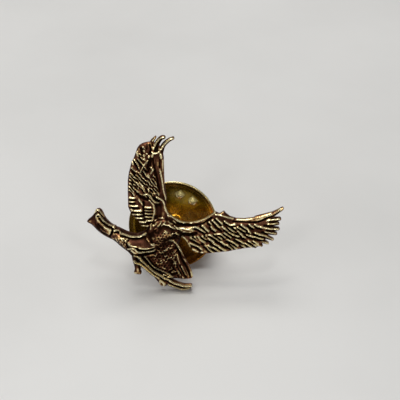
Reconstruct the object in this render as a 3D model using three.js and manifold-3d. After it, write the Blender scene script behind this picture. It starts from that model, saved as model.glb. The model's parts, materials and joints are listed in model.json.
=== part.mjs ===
// A flying-eagle lapel pin with its butterfly clutch, lying on a table as it comes to rest.
// Millimetres, +Z up. The pin group has its own frame: x to the right across the wings, y up
// the raised wing, z out of the eagle's face. Its origin is on the post's axis at the flat back
// of the casting. The group is then leaned back on its clutch and set down on the table, with the
// bottom centre of its box at the origin.
import * as THREE from "three";
import { mergeVertices } from "three/addons/utils/BufferGeometryUtils.js";
import Module from "manifold-3d";

const lean = 23.5; // degrees from level to the normal of the eagle's face, as the pin lies

// Casting
const wingThickness = 1.1;
const featherRise = 0.35; // how far a feather stands above its wing
const bodyThickness = 2.2;
const neckThickness = 1.7;
const tailThickness = 1.0;
const legLevel = 0.55; // height of a leg's middle over the casting's back
const legRadius = 0.42;
const toeRadius = 0.34;
const featherOverlap = 0.3; // how deep a raised feather is sunk into what it stands on

// Post
const postRadius = 0.575;
const postLength = 8.0;
const postPoint = 1.1; // length of its sharpened end
const postTipRadius = 0.1;
const postFillet = 0.4; // how far the pad's shoulder runs up the post
const padRadius = 1.0;
const padThickness = 0.4;
const grooveRadius = 0.4;
const grooveStart = 4.85;
const grooveEnd = 5.85;
const grooveSlope = 0.2;
const solderWidth = 0.3;

// Clutch, measured back from the casting
const clutchRadius = 5.7;
const clutchFront = 3.4; // front edge of the rim, as the pin lies
const rimHeight = 1.5;
const sheet = 0.32; // sheet brass of the disc and the cover
const rimRoll = 0.22; // radius of the rolled rim
const collarRadius = 0.95;
const holeRadius = 0.68;
const bossAxis = 63; // degrees from x to the line through the two pairs of bosses
const bossCircle = 4.2;
const bossSpread = 14.2; // degrees from that line to each boss
const bossSize = [1.0, 1.2, 0.26];
const coverWidth = 4.0;
const coverHeight = 3.7;
const coverFoot = 4.6; // from the post's axis to the end of each staked foot
const clearance = 0.05;

// Finger ears and the jaw plates that they push
const jawThickness = 0.36;
const jawTravel = 0.5; // how far each ear is pushed in to let the post go
const earWidth = 3.9;
const earReach = 4.9; // from the post's axis to the ear's free edge
const earRise = 2.8; // how far the ear's edge stands behind its plate
const springRadius = 1.5;
const springWire = 0.2; // radius of the wire
const springGap = 30; // degrees between the wire's two ends

const finishes = {
  antiqueGold: { color: 0x9a7a3a, roughness: 0.38, metalness: 1 },
  goldWire: { color: 0xc9a85a, roughness: 0.3, metalness: 1 },
  solder: { color: 0x8d8471, roughness: 0.5, metalness: 1 },
  amberBrass: { color: 0xb8923a, roughness: 0.3, metalness: 1 },
  springSteel: { color: 0xa9a7a0, roughness: 0.35, metalness: 1 },
};

const weldDistance = 1e-5;

const wasm = await Module();
wasm.setup();

// ---- Solids ----

/** Six times the signed volume of an indexed triangle mesh. */
function signedVolume(points, corners) {
  const [a, b, c] = [new THREE.Vector3(), new THREE.Vector3(), new THREE.Vector3()];
  let sum = 0;
  for (let i = 0; i < corners.length; i += 3) {
    a.fromArray(points, 3 * corners[i]);
    b.fromArray(points, 3 * corners[i + 1]);
    c.fromArray(points, 3 * corners[i + 2]);
    sum += a.dot(b.cross(c));
  }
  return sum;
}

/** A closed geometry as a solid with its faces pointing out. */
function solid(geometry) {
  const bare = geometry.clone();
  bare.deleteAttribute("normal");
  bare.deleteAttribute("uv");
  const merged = mergeVertices(bare, weldDistance);
  const points = Float32Array.from(merged.attributes.position.array);
  const index = merged.index.array;
  const corners = [];
  for (let i = 0; i < index.length; i += 3) {
    const [a, b, c] = [index[i], index[i + 1], index[i + 2]];
    if (a !== b && b !== c && c !== a) corners.push(a, b, c);
  }
  if (signedVolume(points, corners) < 0) corners.reverse();
  return new wasm.Manifold(
    new wasm.Mesh({ numProp: 3, vertProperties: points, triVerts: Uint32Array.from(corners) }),
  );
}

/** One solid from several closed geometries. */
function joined(...geometries) {
  return geometries.map((g) => solid(g)).reduce((whole, next) => whole.add(next));
}

/** A named mesh of a solid in one of the finishes. */
function piece(name, shape, finish) {
  const mesh = shape.getMesh();
  const geometry = new THREE.BufferGeometry();
  geometry.setAttribute("position", new THREE.BufferAttribute(mesh.vertProperties, 3));
  geometry.setIndex(new THREE.BufferAttribute(mesh.triVerts, 1));
  geometry.computeVertexNormals();
  const made = new THREE.Mesh(geometry, new THREE.MeshStandardMaterial(finishes[finish]));
  made.name = name;
  return made;
}

/** A plate standing up from z = 0, its outline given as points. */
function plate(outline, thickness) {
  const shape = new THREE.Shape(outline.map(([x, y]) => new THREE.Vector2(x, y)));
  return new THREE.ExtrudeGeometry(shape, { depth: thickness, bevelEnabled: false });
}

/** An ellipsoid boss: its middle, its half sizes and its turn about z in degrees. */
function swell(middle, halfSizes, turn) {
  const made = new THREE.SphereGeometry(1, 20, 12);
  made.scale(...halfSizes);
  made.rotateZ(THREE.MathUtils.degToRad(turn));
  return made.translate(...middle);
}

/** Points of a smooth curve through the given ones, open or closed. */
function smooth(points, steps, closed = false) {
  const curve = new THREE.CatmullRomCurve3(
    points.map(([x, y]) => new THREE.Vector3(x, y, 0)), closed, "centripetal");
  return curve.getPoints(steps).slice(0, closed ? -1 : undefined).map((p) => [p.x, p.y]);
}

/** A feather with a round tip: its root and tip, its width, and the span of z that it fills. */
function feather([x0, y0], [x1, y1], width, base, top) {
  const length = Math.hypot(x1 - x0, y1 - y0);
  const half = width / 2;
  const shape = new THREE.Shape();
  shape.moveTo(0, -half * 0.6);
  shape.lineTo(length - half, -half);
  shape.absarc(length - half, 0, half, -Math.PI / 2, Math.PI / 2, false);
  shape.lineTo(0, half * 0.6);
  const made = new THREE.ExtrudeGeometry(shape, {
    depth: top - base, bevelEnabled: false, curveSegments: 3,
  });
  made.rotateZ(Math.atan2(y1 - y0, x1 - x0));
  made.translate(x0, y0, base);
  return made;
}

/** A round bar along a smooth path, its ends flat. */
function bar(path, radius, steps) {
  const ring = new THREE.Shape();
  ring.absarc(0, 0, radius, 0, 2 * Math.PI);
  const curve = new THREE.CatmullRomCurve3(path.map((p) => new THREE.Vector3(...p)));
  return new THREE.ExtrudeGeometry(ring, { extrudePath: curve, steps, curveSegments: 4 });
}

/** A solid of revolution about the post, its profile given as [radius, distance behind]. */
function turned(profile, sides = 48) {
  const made = new THREE.LatheGeometry(profile.map(([r, d]) => new THREE.Vector2(r, -d)), sides);
  return made.rotateX(Math.PI / 2);
}

/** Points between two places, both included. */
function between([x0, y0], [x1, y1], count) {
  return Array.from({ length: count }, (_, i) => {
    const t = i / (count - 1);
    return [x0 + t * (x1 - x0), y0 + t * (y1 - y0)];
  });
}

// ---- Eagle ----

function raisedWing() {
  const arm = [
    ...smooth([[-3.0, 0.6], [-4.0, 1.2], [-5.2, 2.6], [-5.5, 4.4], [-5.5, 6.2], [-5.2, 8.0],
      [-4.5, 10.0], [-3.6, 11.2], [-2.6, 11.5]], 18),
    ...smooth([[-1.5, 10.6], [-1.1, 9.4], [-1.0, 8.0], [-0.9, 6.2], [-0.8, 4.6], [-0.9, 3.0],
      [-0.4, 1.6], [0.4, 0.4]], 14),
  ];
  const tips = [
    feather([-3.4, 9.6], [-1.95, 12.1], 0.55, 0, wingThickness),
    feather([-2.6, 9.6], [-0.9, 12.1], 0.6, 0, wingThickness * 0.9),
    feather([-1.9, 9.4], [0.3, 12.0], 0.6, 0, wingThickness * 0.8),
  ];
  const rows = [
    [between([-4.9, 2.7], [-4.9, 8.2], 9), [-0.75, 0.45], 0.42],
    [between([-3.0, 2.2], [-3.4, 8.8], 9), [-0.95, 0.75], 0.45],
    [between([-1.7, 4.4], [-1.7, 8.6], 4), [-0.8, 1.3], 0.5],
  ];
  return [plate(arm, wingThickness), ...tips, ...featherRows(rows, wingThickness)];
}

function sweptWing() {
  const arm = [
    ...smooth([[-0.9, 3.0], [-0.4, 2.2], [0.5, 1.6], [1.6, 1.2], [2.9, 1.25], [4.2, 1.7],
      [5.3, 2.5]], 14),
    [5.8, 2.25], [6.4, 2.6],
    ...smooth([[6.9, 2.2], [8.1, 1.6], [9.5, 1.55], [11.2, 2.0], [12.2, 2.2]], 8),
    ...smooth([[12.0, -0.9], [10.5, -1.9], [8.6, -2.15], [6.3, -2.6], [4.1, -2.8], [2.7, -2.35],
      [1.8, -1.1], [0.4, -0.2], [-1.6, 0.4]], 18),
  ];
  const tips = [
    feather([10.4, 1.7], [13.9, 3.0], 0.62, 0, wingThickness),
    feather([10.6, 1.0], [13.6, 1.45], 0.66, 0, wingThickness * 0.9),
    feather([10.4, 0.4], [13.4, 0.15], 0.66, 0, wingThickness),
    feather([10.2, -0.2], [12.85, -0.85], 0.6, 0, wingThickness * 0.9),
    feather([9.6, -0.6], [12.0, -1.4], 0.55, 0, wingThickness),
  ];
  const rows = [
    [between([2.2, 0.9], [9.6, 1.3], 11), [1.15, -0.62], 0.46],
    [between([1.6, -0.2], [9.2, 0.3], 11), [1.2, -0.6], 0.48],
    [between([2.6, -1.4], [9.4, -0.9], 10), [0.95, -0.7], 0.46],
  ];
  return [plate(arm, wingThickness), ...tips, ...featherRows(rows, wingThickness)];
}

/** Rows of small raised feathers: each row has its roots, the way its feathers lie, a width. */
function featherRows(rows, onto) {
  return rows.flatMap(([roots, [dx, dy], width]) =>
    roots.map(([x, y], i) => {
      const rise = i % 2 ? 0.75 * featherRise : featherRise;
      return feather([x, y], [x + dx, y + dy], width, onto - featherOverlap, onto + rise);
    }));
}

function trunk() {
  const body = smooth([[-7.2, 0.7], [-5.9, -0.1], [-4.7, -0.5], [-3.4, -0.1], [-2.6, 1.0],
    [-1.0, 1.7], [0.2, 0.9], [0.6, -1.0], [-0.6, -3.0], [-2.6, -4.0], [-4.6, -3.6],
    [-5.9, -2.4], [-7.0, -1.3]], 30, true);
  const neck = smooth([[-10.6, 1.35], [-10.1, 2.05], [-9.2, 2.9], [-8.7, 2.3], [-8.4, 1.4],
    [-7.2, 0.8], [-6.2, 0.2], [-6.4, -1.7], [-7.8, -0.8], [-8.7, 0.0], [-9.6, 0.75]], 24, true);
  return [
    plate(body, bodyThickness * 0.75),
    plate(neck, neckThickness * 0.7),
    swell([-3.0, -1.6, bodyThickness * 0.7], [3.4, 1.7, 0.9], -18),
    swell([-7.7, 0.3, neckThickness * 0.65], [1.6, 0.8, 0.7], -42),
    swell([-9.2, 1.75, neckThickness * 0.65], [0.95, 0.8, 0.65], 30),
  ];
}

function tail() {
  const fan = [[-4.4, -3.2], [-0.2, -0.9], [0.75, -1.8], [1.4, -3.2], [2.0, -4.3], [2.55, -5.4],
    [2.5, -5.95], [1.4, -6.15], [-0.8, -5.7], [-2.6, -4.9]];
  const quills = between([-1.4, -2.6], [0.6, -2.0], 4).map(([x, y], i) =>
    feather([x, y], [x + 1.4 + 0.15 * i, y - 3.2 - 0.1 * i], 0.5,
      tailThickness - featherOverlap, tailThickness + featherRise));
  return [plate(fan, tailThickness), ...quills];
}

/** Both legs stretched back along the tail, a trailing foot, and one foot that hangs down. */
function legs() {
  const path = (points) => points.map(([x, y]) => [x, y, legLevel]);
  return [
    bar(path([[-4.2, -2.9], [-3.6, -3.8], [-2.2, -5.0], [-0.6, -6.1]]), legRadius, 10),
    bar(path([[-4.7, -3.5], [-3.7, -4.4], [-2.3, -5.6], [-1.1, -6.6]]), legRadius, 10),
    bar(path([[-1.6, -6.2], [-1.0, -6.85], [0.4, -7.0], [1.4, -7.2], [2.35, -7.2]]), toeRadius, 12),
    bar(path([[-1.2, -6.0], [0.0, -6.4], [1.2, -6.7], [2.1, -7.0]]), toeRadius, 10),
    bar(path([[-4.8, -3.4], [-4.7, -4.4], [-4.75, -5.0], [-4.2, -5.2]]), toeRadius, 10),
  ];
}

/** The whole eagle is one casting, flat at the back. */
function eagle() {
  return joined(...raisedWing(), ...sweptWing(), ...trunk(), ...tail(), ...legs());
}

// ---- Post ----

function post() {
  return solid(turned([
    [0, clearance], [padRadius, clearance], [padRadius, padThickness],
    [postRadius + 0.15, padThickness + 0.1], [postRadius, padThickness + postFillet],
    [postRadius, grooveStart], [grooveRadius, grooveStart + grooveSlope],
    [grooveRadius, grooveEnd - grooveSlope], [postRadius, grooveEnd],
    [postRadius, postLength - postPoint], [postTipRadius, postLength], [0, postLength],
  ], 24));
}

function solder() {
  const inner = padRadius + clearance;
  return solid(turned([
    [inner, clearance], [inner + solderWidth, clearance], [inner + 0.15, 0.2],
    [inner, padThickness - 0.05], [inner, clearance],
  ], 32));
}

// ---- Clutch ----

const floorFront = clutchFront + rimHeight - sheet;
const floorBack = clutchFront + rimHeight;
const jawFront = floorBack + clearance;

/** Turn and place a geometry on the clutch: out along an angle, then back from the casting. */
function onClutch(geometry, degrees, out, back) {
  geometry.translate(out, 0, -back);
  return geometry.rotateZ(THREE.MathUtils.degToRad(degrees));
}

function bossAngles() {
  return [0, 180].flatMap((side) => [-1, 1].map((way) => bossAxis + side + way * bossSpread));
}

function clutchDisc() {
  const lip = clutchRadius - rimRoll;
  const dish = turned([
    [holeRadius, floorFront - 0.35], [collarRadius, floorFront - 0.3],
    [collarRadius + 0.2, floorFront], [4.5, floorFront], [5.1, floorFront - 0.25],
    [lip - sheet, clutchFront + 0.25], [lip - 0.1, clutchFront], [clutchRadius, clutchFront + 0.06],
    [clutchRadius, clutchFront + 0.35], [lip + 0.05, clutchFront + 0.5], [5.35, floorBack - 0.25],
    [4.7, floorBack], [holeRadius, floorBack], [holeRadius, floorFront - 0.35],
  ], 64);
  const bosses = bossAngles().map((angle) =>
    onClutch(new THREE.BoxGeometry(...bossSize), angle, bossCircle, floorFront - 0.08));
  return joined(dish, ...bosses);
}

/** A bent sheet piece: its outline as [out, behind], extruded across its width. */
function bent(outline, width) {
  const shape = new THREE.Shape(outline.map(([x, y]) => new THREE.Vector2(x, y)));
  const made = new THREE.ExtrudeGeometry(shape, { depth: width, bevelEnabled: false });
  made.translate(0, 0, -width / 2);
  return made.rotateX(-Math.PI / 2);
}

/** The bridge-shaped cover: feet on the boss line, open at both sides for the ears. */
function clutchCover() {
  const outer = [[coverFoot, 0], [coverFoot, sheet], [3.75, sheet], [3.45, 1.2],
    [2.7, coverHeight - 0.5], [2.0, coverHeight]];
  const inner = [[3.4, 0], [3.12, 1.1], [2.42, coverHeight - 0.75], [1.88, coverHeight - sheet]];
  const mirrored = (list) => list.map(([x, y]) => [-x, y]).reverse();
  const outline = [...outer, ...mirrored(outer), ...mirrored([...inner].reverse()),
    ...[...inner].reverse()];
  return solid(onClutch(bent(outline, coverWidth), bossAxis, 0, jawFront));
}

/** A jaw plate with its finger ear; the second one lies behind the first, the other way round. */
function jaw(layer) {
  const holeSide = postRadius + clearance;
  const outline = [[-1.5, 0], [2.75, 0], [earReach, earRise - 0.1], [earReach - 0.3, earRise],
    [2.6, jawThickness], [-1.5, jawThickness]];
  const hole = new THREE.BoxGeometry(2 * holeSide + jawTravel, 2 * holeSide, 1.5);
  hole.translate(jawTravel / 2, 0, 0);
  const back = jawFront + layer * (jawThickness + clearance);
  const angle = bossAxis + 90 + 180 * layer;
  return solid(onClutch(bent(outline, earWidth), angle, 0, back))
    .subtract(solid(onClutch(hole, angle, 0, back)));
}

/** The round wire spring that lies loose round the post, behind the jaws. */
function gripSpring() {
  const back = jawFront + 2 * (jawThickness + clearance) + springWire + clearance;
  const steps = 16;
  const path = Array.from({ length: steps + 1 }, (_, i) => {
    const angle = THREE.MathUtils.degToRad(springGap / 2 + ((360 - springGap) * i) / steps);
    return [springRadius * Math.cos(angle), springRadius * Math.sin(angle), -back];
  });
  return solid(bar(path, springWire, 32));
}

const pin = new THREE.Group();
pin.add(
  piece("eagle_casting", eagle(), "antiqueGold"),
  piece("pin_post", post(), "goldWire"),
  piece("post_solder", solder(), "solder"),
  piece("clutch_disc", clutchDisc(), "amberBrass"),
  piece("clutch_cover", clutchCover(), "amberBrass"),
  piece("finger_ear_upper", jaw(0), "amberBrass"),
  piece("finger_ear_lower", jaw(1), "amberBrass"),
  piece("grip_spring", gripSpring(), "springSteel"),
);
pin.rotation.x = THREE.MathUtils.degToRad(90 - lean);

const model = new THREE.Group();
model.add(pin);
const lying = new THREE.Box3().setFromObject(model, true);
const middle = lying.getCenter(new THREE.Vector3());
pin.position.set(-middle.x, -middle.y, -lying.min.z);
export default model;
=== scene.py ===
"""A flying-eagle lapel pin on a pale table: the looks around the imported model.

The casting, the post and the clutch are drawn in the pin's own frame, in millimetres: x right
across the wings, y up the raised wing, z out of the eagle's face, with the origin on the post's
axis at the flat back of the casting. The record's clutch_turn joint says where that frame lies.
"""
import json
import math

import bpy
import numpy as np
from mathutils import Matrix, Vector


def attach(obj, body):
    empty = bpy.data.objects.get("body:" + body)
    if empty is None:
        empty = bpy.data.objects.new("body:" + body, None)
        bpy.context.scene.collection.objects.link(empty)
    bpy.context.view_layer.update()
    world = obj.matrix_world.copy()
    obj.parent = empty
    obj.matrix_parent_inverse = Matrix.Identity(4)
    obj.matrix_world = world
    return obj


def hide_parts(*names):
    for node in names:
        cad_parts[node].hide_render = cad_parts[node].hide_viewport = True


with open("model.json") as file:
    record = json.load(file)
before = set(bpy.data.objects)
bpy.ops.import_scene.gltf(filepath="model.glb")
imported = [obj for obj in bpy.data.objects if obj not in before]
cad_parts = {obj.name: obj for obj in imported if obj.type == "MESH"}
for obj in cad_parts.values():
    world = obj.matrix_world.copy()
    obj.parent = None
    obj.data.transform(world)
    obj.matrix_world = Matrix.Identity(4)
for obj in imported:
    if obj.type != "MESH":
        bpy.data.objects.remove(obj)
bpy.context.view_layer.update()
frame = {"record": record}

# ---- The pin's own frame ----

turn_joint = next(j for j in frame["record"]["behaviour"]["joints"] if j["name"] == "clutch_turn")
RIGHT = Vector((1, 0, 0))
FACE = -Vector(turn_joint["axis"]).normalized()
UP = FACE.cross(RIGHT)
ORIGIN = Vector(turn_joint["pos_m"])
MM = 0.001


def pin_matrix():
    """From millimetres in the pin's frame to metres in the row's."""
    turn = Matrix((RIGHT, UP, FACE)).transposed().to_4x4()
    return Matrix.Translation(ORIGIN) @ turn @ Matrix.Scale(MM, 4)


PIN = pin_matrix()

# ---- Sizes, in millimetres ----

CELL = 0.06
EDGE = 0.52  # height of the casting's thinnest edge
LEAN = 0.21  # rise for each millimetre of height
LEAN_FROM = 0.45  # height where that starts
CREST_HEIGHT = 0.13  # of a stroke that is polished bright all over
WORN_AND_LIT_BAND = 0.14  # width of the polish and painted highlight along the outline
BACK_TONE = 0.02  # the plain back, between stained (-1) and bright (1)
POST_RADIUS = 0.575
POST_LENGTH = 8.0
CLUTCH_RADIUS = 5.7
CLUTCH_FRONT = 3.4  # gap from the casting's back to the rim
RIM_HEIGHT = 1.5
ROLL = 0.12  # radius of the rim's rolled edge
SHEET = 0.32
BOSS_AXIS = 63
BOSS_CIRCLE = 3.85
BOSS_SPREAD = 14.2
BOSS_ANGLES = [BOSS_AXIS + side + way * BOSS_SPREAD for side in (0, 180) for way in (-1, 1)]
JAW = 0.36
SPRING_RADIUS = 1.5
SPRING_WIRE = 0.2  # radius of the wire
GAP = 0.05
FLOOR = CLUTCH_FRONT + RIM_HEIGHT - SHEET  # front face of the dish's floor


# ---- Relief engine ----

def smooth(points, step=0.12):
    """Evenly spaced points on a Catmull-Rom curve through rows that start with x and y."""
    p = np.array(points, float)
    if len(p) < 3:
        count = max(2, int(np.hypot(*(p[1] - p[0])[:2]) / step) + 1)
        return p[0] + np.linspace(0, 1, count)[:, None] * (p[1] - p[0])
    q = np.vstack([2 * p[0] - p[1], p, 2 * p[-1] - p[-2]])
    out = []
    for a, b, c, d in zip(q, q[1:], q[2:], q[3:]):
        count = max(2, int(np.hypot(*(c - b)[:2]) / step) + 1)
        t = np.linspace(0, 1, count, endpoint=False)[:, None]
        out.append(0.5 * (2 * b + (c - a) * t + (2 * a - 5 * b + 4 * c - d) * t**2
                          + (3 * b - a - 3 * c + d) * t**3))
    return np.vstack([*out, p[-1:]])


def nearest(gx, gy, start, end):
    """For each grid point: how far along a straight piece its nearest point lies, as a share,
    and the distance to it."""
    step = end - start
    share = ((gx - start[0]) * step[0] + (gy - start[1]) * step[1]) / max(step @ step, 1e-9)
    share = np.clip(share, 0, 1)
    return share, np.hypot(gx - start[0] - share * step[0], gy - start[1] - share * step[1])


def dome(ratio):
    """A half circle's height over its middle, at a distance given in radii."""
    return np.sqrt(np.clip(1 - ratio**2, 0, 1))


def bell(ratio):
    """A soft hump, flat at its middle and at its foot."""
    return 0.5 + 0.5 * np.cos(np.pi * np.clip(ratio, 0, 1))


class Relief:
    """A flat-backed relief: its height over a fine grid, and how far inside the outline each
    point is."""

    def __init__(self, low, high, cell):
        self.cell = cell
        self.x = np.arange(low[0], high[0], cell)
        self.y = np.arange(low[1], high[1], cell)
        self.height = np.zeros((len(self.y), len(self.x)))
        self.inside = np.full(self.height.shape, -1.0)
        self.tone = np.zeros(self.height.shape)  # brighter above 0 from wear and painted highlights, darker below from patina and darker patches

    def window(self, points, reach):
        low, high = points.min(0)[:2] - reach, points.max(0)[:2] + reach
        i = slice(*np.searchsorted(self.x, (low[0], high[0])))
        j = slice(*np.searchsorted(self.y, (low[1], high[1])))
        return (j, i), *np.meshgrid(self.x[i], self.y[j])

    def along(self, path):
        """For a path of x, y, radius: each near point's distance in radii, and its depth inside
        the stroke."""
        line = smooth(path)
        where, gx, gy = self.window(line, line[:, 2].max() + self.cell)
        ratio, depth = np.full(gx.shape, 9.0), np.full(gx.shape, -1.0)
        for a, b in zip(line, line[1:]):
            share, distance = nearest(gx, gy, a[:2], b[:2])
            radius = a[2] + share * (b[2] - a[2])
            ratio = np.minimum(ratio, distance / radius)
            depth = np.maximum(depth, radius - distance)
        return where, ratio, depth

    def fill(self, path, height):
        """A rounded bar that widens the outline."""
        where, ratio, depth = self.along(path)
        self.height[where] = np.maximum(self.height[where], height * dome(ratio))
        self.inside[where] = np.maximum(self.inside[where], depth)

    def plate(self, edge, height, rounding, bulge):
        """A slab with round shoulders that swells towards its middle."""
        where, gx, gy = self.window(edge, 2 * self.cell)
        far = np.full(gx.shape, 1e9)
        odd = np.zeros(gx.shape, bool)
        for a, b in zip(edge, np.roll(edge, -1, 0)):
            far = np.minimum(far, nearest(gx, gy, a, b)[1])
            if a[1] != b[1]:
                crosses = (gy < a[1]) != (gy < b[1])
                odd ^= crosses & (gx < a[0] + (gy - a[1]) * (b[0] - a[0]) / (b[1] - a[1]))
        depth = np.where(odd, far, -far)
        shoulder = 1 - np.clip(1 - depth / rounding, 0, 1)**2
        raised = height * np.sqrt(np.clip(shoulder, 0, 1)) + bulge * np.clip(depth, 0, 1.5)
        self.height[where] = np.maximum(self.height[where], np.where(depth > 0, raised, 0))
        self.inside[where] = np.maximum(self.inside[where], depth)

    def swell(self, path, height):
        """A broad soft swelling that is added to what is there."""
        where, ratio, _ = self.along(path)
        self.height[where] += height * bell(ratio)

    def ridge(self, path, height):
        """A raised round line on what is there, polished by wear and brightened further as a
        painted highlight.
        """
        where, ratio, _ = self.along(path)
        self.height[where] += height * dome(ratio)
        # polish and a painted highlight along the line
        self.tone[where] += 1.1 * height * dome(ratio)

    def carve(self, path, depth):
        """A hollow line cut into what is there, with dark patina left in it."""
        where, ratio, _ = self.along(path)
        bowl = np.clip(1 - ratio**2, 0, 1)
        self.height[where] -= depth * bowl
        self.tone[where] -= 0.5 * depth * bowl

    def darken_or_highlight(self, path, amount):
        """A broad patch of darker colour, or a painted highlight where the amount is above 0."""
        where, ratio, _ = self.along(path)
        self.tone[where] += amount * bell(ratio)


def wide(path, radius, end=None):
    """A path of x, y with a radius on each point, tapering to end at its last one."""
    end = radius if end is None else end
    share = np.linspace(0, 1, len(path))
    return [(x, y, radius + s * (end - radius)) for (x, y), s in zip(path, share)]


def blur(values, inside, reach, cell):
    """A box blur, three times over, of the values that are inside the outline."""
    size = max(1, int(round(reach / cell)))
    weight = inside.astype(float)
    total = values * weight
    for _ in range(3):
        for axis in (0, 1):
            pads = [(size + 1, size) if a == axis else (0, 0) for a in (0, 1)]
            sums = [np.cumsum(np.pad(v, pads), axis) for v in (total, weight)]
            cut = [np.take(s, range(2 * size + 1, s.shape[axis]), axis)
                   - np.take(s, range(0, s.shape[axis] - 2 * size - 1), axis) for s in sums]
            total, weight = cut
    return total / np.maximum(weight, 1e-9)


# ---- The eagle's drawing, in hundredths of a millimetre ----

def paths(rows):
    """Paths in millimetres, from rows that give x and y of each point."""
    return [np.reshape(row, (-1, 2)) / 100 for row in rows]


def strokes(rows, sizes=2):
    """Paths with their sizes in millimetres, from rows that give the sizes, then x and y."""
    shapes = paths(row[sizes:] for row in rows)
    return [(path, *np.array(row[:sizes]) / 100) for path, row in zip(shapes, rows)]


RAISED_EDGE = [
    -300, 55, -390, 80, -430, 150, -510, 230, -550, 320, -552, 500, -550, 660, -535, 760,
    -502, 885, -478, 925, -450, 1005, -430, 1060, -400, 1100, -360, 1122, -300, 1138, -255, 1142,
    -210, 1130, -150, 1090, -115, 1020, -102, 940, -100, 820, -97, 700, -92, 600, -80, 520,
    -68, 450, -72, 380, -80, 310, -45, 230, 30, 175, 130, 125, 160, 0, -100, -60,
]
SWEPT_EDGE = [
    -60, 240, -5, 202, 50, 162, 110, 132, 180, 122, 260, 127, 340, 145, 410, 175, 480, 215,
    535, 260, 555, 245, 590, 230, 620, 245, 645, 266, 670, 235, 720, 195, 800, 170, 900, 166,
    1000, 178, 1100, 200, 1200, 230, 1260, 220, 1230, 160, 1240, 100, 1220, 20, 1200, -50,
    1150, -120, 1090, -185, 1030, -200, 920, -208, 800, -230, 700, -250, 600, -262, 500, -272,
    410, -280, 330, -270, 260, -240, 215, -190, 185, -130, 150, -80, 40, -40, -100, 20,
]
TAIL_EDGE = [
    -440, -290, -200, -160, 20, -90, 62, -150, 110, -235, 145, -320, 200, -420, 242, -510,
    258, -575, 240, -602, 140, -612, 60, -600, -60, -610, -160, -570, -280, -490, -400, -390,
]
BODY_EDGE = [
    -760, -95, -770, 20, -745, 72, -660, 42, -590, 2, -520, -25, -440, -36, -375, -12, -330, 15,
    -280, 80, -220, 160, -100, 190, 40, 120, 120, 0, 100, -120, 0, -240, -200, -320, -400, -360,
    -495, -335, -525, -300, -560, -260, -630, -210, -695, -150,
]
HEAD_EDGE = [
    -1068, 133, -1050, 156, -1015, 182, -992, 204, -975, 234, -960, 270, -936, 292, -904, 293,
    -878, 272, -860, 234, -842, 188, -814, 148, -780, 112, -740, 82, -700, 68, -710, -110,
    -762, -97, -810, -73, -860, -44, -908, -10, -950, 30, -984, 70, -1016, 100, -1048, 116,
]

# Broad swellings of the trunk, head and tail: radius at both ends, height
SWELLS = [
    (120, 130, 70, -620, -100, -440, -150, -240, -120, -80, -30),
    (80, 95, 40, -800, 35, -680, -50), (85, 75, 35, -910, 175, -860, 90),
    (60, 50, 35, -490, -260, -430, -310), (90, 70, 35, -180, -60, 60, 20, 240, 40),
    (150, 110, 30, -200, -340, 20, -320, 90, -460),
]

# Long end feathers that stand free of each other at both wings' ends
TIPS = [
    (34, 12, 80, -300, 1040, -245, 1145, -203, 1200),
    (36, 22, 85, -230, 1020, -175, 1135, -130, 1188, -100, 1195),
    (34, 18, 80, -150, 970, -110, 1090, -45, 1155, 12, 1185),
    (46, 15, 85, 1060, 155, 1220, 208, 1300, 248, 1378, 300),
    (46, 22, 80, 1100, 125, 1230, 150, 1340, 166), (42, 20, 75, 1100, 90, 1230, 100, 1320, 108),
    (44, 20, 85, 1060, 50, 1220, 40, 1325, 38), (42, 20, 75, 1060, 10, 1200, -5, 1295, -22),
    (42, 17, 75, 1040, -30, 1160, -60, 1255, -95), (40, 16, 80, 1020, -75, 1120, -115, 1195, -145),
    (36, 16, 70, 960, -100, 1050, -140, 1120, -176), (34, 20, 70, 900, -130, 1040, -190),
]

# Two stretched legs, the trailing toes and claws, and the foot that hangs down
LEGS = [
    (20, 27, 125, -415, -300, -385, -360, -320, -420, -260, -480, -180, -540, -100, -600),
    (24, 22, 115, -475, -370, -430, -405, -370, -440, -310, -495, -250, -545, -210, -570),
    (36, 38, 85, -475, -330, -460, -390, -442, -450, -438, -495),
    (26, 24, 80, -460, -520, -415, -528), (30, 40, 95, -230, -545, -170, -610, -120, -665),
    (34, 34, 105, -140, -630, -105, -672),
    (30, 13, 100, -100, -590, -30, -630, 30, -665, 100, -690, 160, -702, 235, -700),
    (27, 12, 85, -90, -640, -40, -680, 30, -710, 100, -736, 155, -742, 220, -728),
]

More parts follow.
